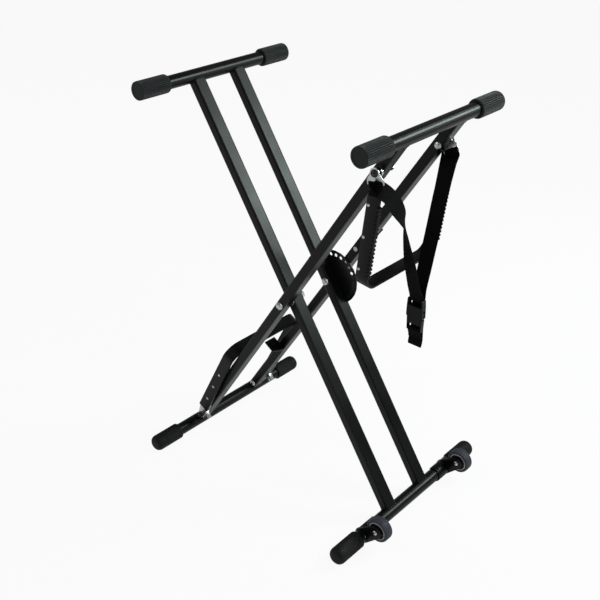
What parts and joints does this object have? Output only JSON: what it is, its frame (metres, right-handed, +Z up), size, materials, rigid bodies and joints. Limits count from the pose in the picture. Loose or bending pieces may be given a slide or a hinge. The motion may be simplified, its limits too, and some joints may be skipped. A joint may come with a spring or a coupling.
{
  "type": "folding keyboard stand",
  "caption": "Double-braced X stand that folds at a pivot with a lock disc, with rubber-capped bars, transport wheels, a fold-out toe bracket, a swinging handle bow and a buckled strap.",
  "frame": {"origin": "on the floor, below the middle of the stand's outline", "axes": "+Z up, +Y along the bars away from the viewer of the picture, +X towards the foot with the wheels"},
  "size_m": [0.5869, 0.4376, 0.8169],
  "materials": {
    "frame_paint": "semi-gloss black powder coat",
    "cap_rubber": "charcoal moulded rubber, fluted on the top caps",
    "grip_rubber": "black ribbed rubber",
    "zinc": "bright zinc plate",
    "dark_steel": "blackened steel",
    "spring_steel": "bright spring wire",
    "wheel_plastic": "light grey moulded plastic",
    "tyre": "blue-grey soft tyre",
    "webbing": "black woven webbing",
    "buckle_plastic": "black moulded acetal"
  },
  "bodies": {
    "frame_b": {"leg_b_near": "frame_paint", "leg_b_far": "frame_paint", "top_bar_b": "frame_paint", "foot_bar_b": "frame_paint", "top_cap_b_near": "cap_rubber", "top_cap_b_far": "cap_rubber", "foot_cap_b_near": "cap_rubber", "foot_cap_b_far": "cap_rubber", "pivot_bolt_near": "zinc", "pivot_nut_near": "zinc", "pivot_bolt_far": "zinc", "pivot_nut_far": "zinc", "pivot_washer_near": "zinc", "lever_bracket": "frame_paint", "bracket_rivet": "zinc", "fulcrum_pin": "zinc", "fold_stop": "frame_paint", "bow_spacer_near": "zinc", "bow_bolt_near": "dark_steel", "bow_nut_near": "zinc", "bow_bolt_far": "zinc", "bow_nut_far": "dark_steel", "toe_bolt_near": "zinc", "toe_nut_near": "dark_steel", "toe_bolt_far": "zinc", "toe_nut_far": "dark_steel"},
    "frame_a": {"leg_a_near": "frame_paint", "leg_a_far": "frame_paint", "top_bar_a": "frame_paint", "foot_bar_a": "frame_paint", "top_cap_a_near": "cap_rubber", "top_cap_a_far": "cap_rubber", "foot_cap_a_near": "cap_rubber", "foot_cap_a_far": "cap_rubber", "lock_disc": "frame_paint", "wheel_bracket_near": "frame_paint", "axle_bolt_near": "zinc", "wheel_bracket_far": "frame_paint", "axle_bolt_far": "zinc"},
    "wheel_near": {"wheel_hub_near": "wheel_plastic", "tyre_near": "tyre"},
    "wheel_far": {"wheel_hub_far": "wheel_plastic", "tyre_far": "tyre"},
    "lever": {"lock_lever": "frame_paint"},
    "pin": {"lock_pin": "zinc", "lock_spring": "spring_steel"},
    "handle_bow": {"bow_bar": "frame_paint", "grip_pad_near": "grip_rubber", "grip_pad_far": "grip_rubber", "strap_anchor_near": "zinc", "strap_anchor_far": "zinc", "strap_near": "webbing", "strap_far": "webbing", "buckle_socket": "buckle_plastic", "buckle_prong": "buckle_plastic"},
    "toe_bracket": {"toe_bar": "frame_paint", "toe_hinge_near": "zinc", "toe_hinge_far": "zinc"}
  },
  "joints": [
    {"name": "fold", "type": "hinge", "parent": "frame_b", "child": "frame_a", "pos_m": [-0.01903, 0, 0.40912], "axis": [0, -1, 0], "range_deg": [-61.5, 30]},
    {"name": "wheel_near_spin", "type": "hinge", "parent": "frame_a", "child": "wheel_near", "pos_m": [0.26898, -0.131, 0.04362], "axis": [0, 1, 0], "continuous": true},
    {"name": "wheel_far_spin", "type": "hinge", "parent": "frame_a", "child": "wheel_far", "pos_m": [0.26898, 0.146, 0.04362], "axis": [0, 1, 0], "continuous": true},
    {"name": "lever_squeeze", "type": "hinge", "parent": "frame_b", "child": "lever", "pos_m": [0.0327, 0.107, 0.48797], "axis": [0.8361, 0, -0.5486], "range_deg": [0, 8], "stiffness_Nm_per_rad": 0.6, "springref_deg": -17.19},
    {"name": "pin_pull", "type": "slide", "parent": "frame_b", "child": "pin", "axis": [0, 1, 0], "range_m": [0, 0.0063], "deforming": ["lock_spring"]},
    {"name": "bow_swing", "type": "hinge", "parent": "frame_b", "child": "handle_bow", "pos_m": [0.20341, 0, 0.74159], "axis": [0, -1, 0], "range_deg": [-4, 126], "deforming": ["strap_near", "strap_far"]},
    {"name": "toe_fold", "type": "hinge", "parent": "frame_b", "child": "toe_bracket", "pos_m": [-0.26343, 0, 0.03665], "axis": [0, -1, 0], "range_deg": [0, 86]}
  ],
  "couplings": [
    {"joint": "pin_pull", "follows": "lever_squeeze", "m_per_rad": 0.0448}
  ]
}
